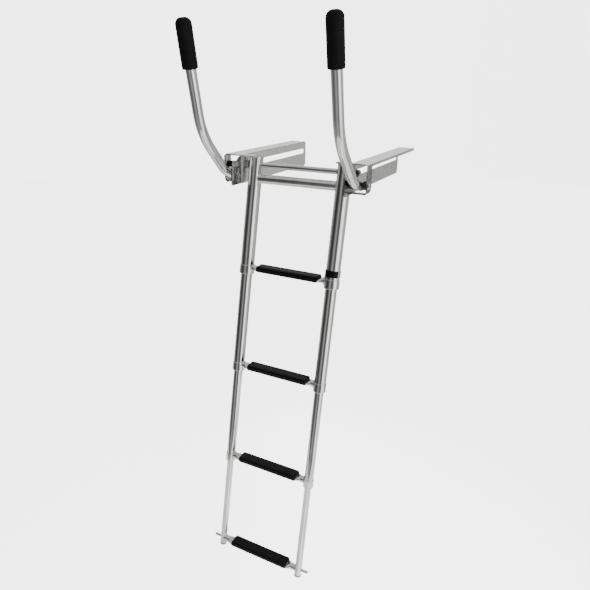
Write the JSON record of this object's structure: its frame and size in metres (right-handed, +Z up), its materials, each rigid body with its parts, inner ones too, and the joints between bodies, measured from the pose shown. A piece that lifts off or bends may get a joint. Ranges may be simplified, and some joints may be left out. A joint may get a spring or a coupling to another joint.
{
  "type": "boat boarding ladder",
  "caption": "Stainless steel telescoping boarding ladder on under-platform slide tracks, with black treads and folding grab handles with foam grips.",
  "frame": {"origin": "centre of the four mounting holes, on the top face of the two mounting flanges, where the underside of the swim platform rests", "axes": "+X to the right seen from the water, +Y towards the boat along the tracks, +Z up"},
  "size_m": [0.422, 0.6115, 1.4778],
  "materials": {
    "tube_steel": "mirror-polished stainless steel tube",
    "plate_steel": "electropolished stainless sheet",
    "fastener_steel": "plain stainless fasteners",
    "nylon": "grey moulded nylon",
    "tread_rubber": "black moulded rubber with a diagonal non-slip pattern",
    "grip_foam": "black closed-cell foam"
  },
  "bodies": {
    "tracks": {"track_left": "plate_steel", "track_right": "plate_steel", "rail_stops": "plate_steel", "handle_bracket_left": "plate_steel", "handle_bracket_right": "plate_steel", "handle_pivot_pins": "fastener_steel", "handle_pivot_washers": "fastener_steel", "handle_stop_bolts": "fastener_steel", "handle_stop_nuts": "fastener_steel", "handle_stop_bumpers": "tread_rubber"},
    "carriage": {"axle_rod": "fastener_steel", "axle_sleeve": "tube_steel", "slot_rollers": "nylon", "axle_washers": "fastener_steel", "axle_nuts": "fastener_steel"},
    "section_1": {"rail_1_left": "tube_steel", "rail_1_right": "tube_steel", "rail_caps": "nylon", "hinge_bushes": "nylon", "cross_tube": "tube_steel", "collars_1": "tube_steel", "guide_bushes_1": "nylon", "rung_1": "tube_steel", "tread_1": "tread_rubber", "stow_strap": "tread_rubber"},
    "section_2": {"rail_2_left": "tube_steel", "rail_2_right": "tube_steel", "glide_plugs_2": "nylon", "collars_2": "tube_steel", "guide_bushes_2": "nylon", "rung_2": "tube_steel", "tread_2": "tread_rubber"},
    "section_3": {"rail_3_left": "tube_steel", "rail_3_right": "tube_steel", "glide_plugs_3": "nylon", "collars_3": "tube_steel", "guide_bushes_3": "nylon", "rung_3": "tube_steel", "tread_3": "tread_rubber"},
    "section_4": {"rail_4_left": "tube_steel", "rail_4_right": "tube_steel", "glide_plugs_4": "nylon", "rung_4": "tube_steel", "tread_4": "tread_rubber", "stow_pins": "tube_steel", "foot_plugs": "nylon"},
    "handle_left": {"handle_left": "tube_steel", "grip_left": "grip_foam", "handle_bush_left": "fastener_steel", "handle_spacers_left": "nylon"},
    "handle_right": {"handle_right": "tube_steel", "grip_right": "grip_foam", "handle_bush_right": "fastener_steel", "handle_spacers_right": "nylon"}
  },
  "joints": [
    {"name": "carriage_slide", "type": "slide", "parent": "tracks", "child": "carriage", "axis": [0, 1, 0], "range_m": [0, 0.34]},
    {"name": "ladder_hinge", "type": "hinge", "parent": "carriage", "child": "section_1", "pos_m": [0, -0.161, -0.0285], "axis": [-1, 0, 0], "range_deg": [0, 78]},
    {"name": "section_2_slide", "type": "slide", "parent": "section_1", "child": "section_2", "axis": [0, 0.2079, 0.9781], "range_m": [0, 0.235]},
    {"name": "section_3_slide", "type": "slide", "parent": "section_2", "child": "section_3", "axis": [0, 0.2079, 0.9781], "range_m": [0, 0.235]},
    {"name": "section_4_slide", "type": "slide", "parent": "section_3", "child": "section_4", "axis": [0, 0.2079, 0.9781], "range_m": [0, 0.235]},
    {"name": "handle_left_fold", "type": "hinge", "parent": "tracks", "child": "handle_left", "pos_m": [-0.182, -0.191, -0.052], "axis": [1, 0, 0], "range_deg": [0, 80]},
    {"name": "handle_right_fold", "type": "hinge", "parent": "tracks", "child": "handle_right", "pos_m": [0.182, -0.191, -0.052], "axis": [1, 0, 0], "range_deg": [0, 80]}
  ]
}
